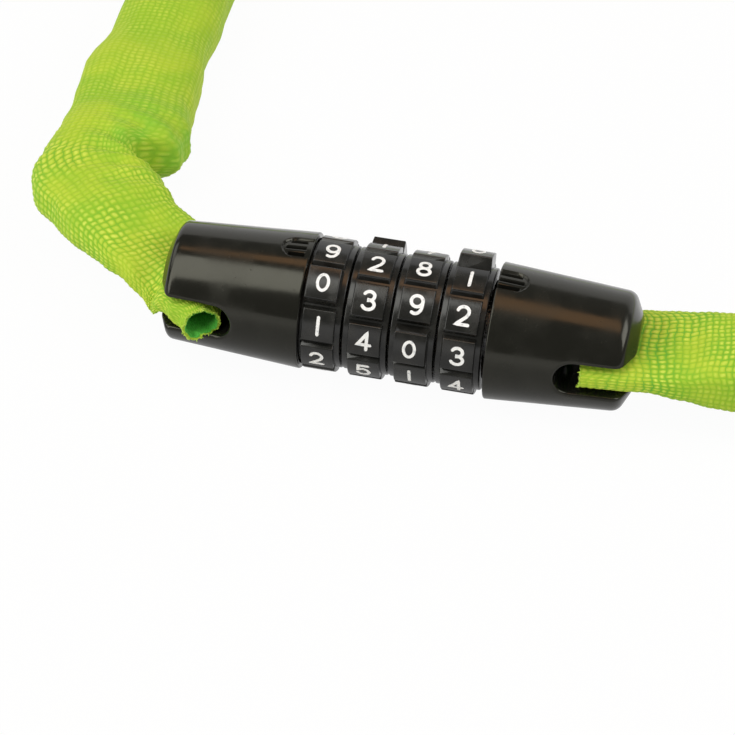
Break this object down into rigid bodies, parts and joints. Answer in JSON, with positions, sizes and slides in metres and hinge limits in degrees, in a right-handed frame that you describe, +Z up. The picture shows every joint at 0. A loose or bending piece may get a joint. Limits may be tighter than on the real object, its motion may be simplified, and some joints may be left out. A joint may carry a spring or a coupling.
{
  "type": "combination chain lock",
  "caption": "Combination chain lock: black barrel with turning number dials and a pull-off bolt half, on a long-link steel chain inside a woven lime-green sleeve.",
  "frame": {"origin": "middle of the barrel's footprint, on the surface that the lock lies on", "axes": "+X along the barrel towards the half that pulls off with the bolt, -Y the barrel's front, +Z up; the chain's loop lies behind the barrel, towards +Y"},
  "size_m": [0.2688, 0.3673, 0.0264],
  "materials": {
    "black_enamel": "glossy black enamel",
    "dial_black": "glossy black with white digits",
    "steel": "zinc plated",
    "brass": "plain turned brass",
    "lime_cloth": "plain woven polyester tube"
  },
  "bodies": {
    "lock_body": {"left_housing": "black_enamel", "spindle": "steel", "spindle_screw": "steel", "wave_washer": "steel", "retaining_ring": "steel", "click_spring": "steel", "left_chain_pin": "steel", "sleeve_left": "lime_cloth", "chain_link_01": "steel", "chain_link_02": "steel", "chain_link_03": "steel", "chain_link_04": "steel", "chain_link_05": "steel", "chain_link_06": "steel", "chain_link_07": "steel", "chain_link_08": "steel", "chain_link_09": "steel", "chain_link_10": "steel", "chain_link_11": "steel", "chain_link_12": "steel", "chain_link_13": "steel", "chain_link_14": "steel", "chain_link_15": "steel", "chain_link_16": "steel"},
    "dial_1_body": {"dial_1": "dial_black", "code_ring_1": "brass"},
    "dial_2_body": {"dial_2": "dial_black", "code_ring_2": "brass"},
    "dial_3_body": {"dial_3": "dial_black", "code_ring_3": "brass"},
    "dial_4_body": {"dial_4": "dial_black", "code_ring_4": "brass"},
    "bolt_side": {"right_housing": "black_enamel", "bolt": "steel", "bolt_screw": "steel", "right_chain_pin": "steel", "sleeve_right": "lime_cloth", "chain_link_19": "steel", "chain_link_20": "steel", "chain_link_21": "steel", "chain_link_22": "steel", "chain_link_23": "steel", "chain_link_24": "steel", "chain_link_25": "steel", "chain_link_26": "steel", "chain_link_27": "steel", "chain_link_28": "steel", "chain_link_29": "steel", "chain_link_30": "steel", "chain_link_31": "steel", "chain_link_32": "steel", "chain_link_33": "steel", "chain_link_34": "steel", "chain_link_35": "steel", "chain_link_36": "steel"},
    "slack_link": {"chain_link_17": "steel", "chain_link_18": "steel"}
  },
  "joints": [
    {"name": "dial_1_turn", "type": "hinge", "parent": "lock_body", "child": "dial_1_body", "pos_m": [0, 0.0002, 0.0129], "axis": [1, 0, 0], "continuous": true, "deforming": ["click_spring"]},
    {"name": "dial_2_turn", "type": "hinge", "parent": "lock_body", "child": "dial_2_body", "pos_m": [0, 0.0002, 0.0129], "axis": [1, 0, 0], "continuous": true, "deforming": ["click_spring"]},
    {"name": "dial_3_turn", "type": "hinge", "parent": "lock_body", "child": "dial_3_body", "pos_m": [0, 0.0002, 0.0129], "axis": [1, 0, 0], "continuous": true, "deforming": ["click_spring"]},
    {"name": "dial_4_turn", "type": "hinge", "parent": "lock_body", "child": "dial_4_body", "pos_m": [0, 0.0002, 0.0129], "axis": [1, 0, 0], "continuous": true, "deforming": ["click_spring"]},
    {"name": "bolt_slide", "type": "slide", "parent": "lock_body", "child": "bolt_side", "axis": [1, 0, 0], "range_m": [0, 0.0376]},
    {"name": "slack_slide", "type": "slide", "parent": "lock_body", "child": "slack_link", "axis": [1, 0, 0], "range_m": [0, 0.0188]}
  ],
  "couplings": [
    {"joint": "slack_slide", "follows": "bolt_slide", "ratio": 0.5}
  ]
}
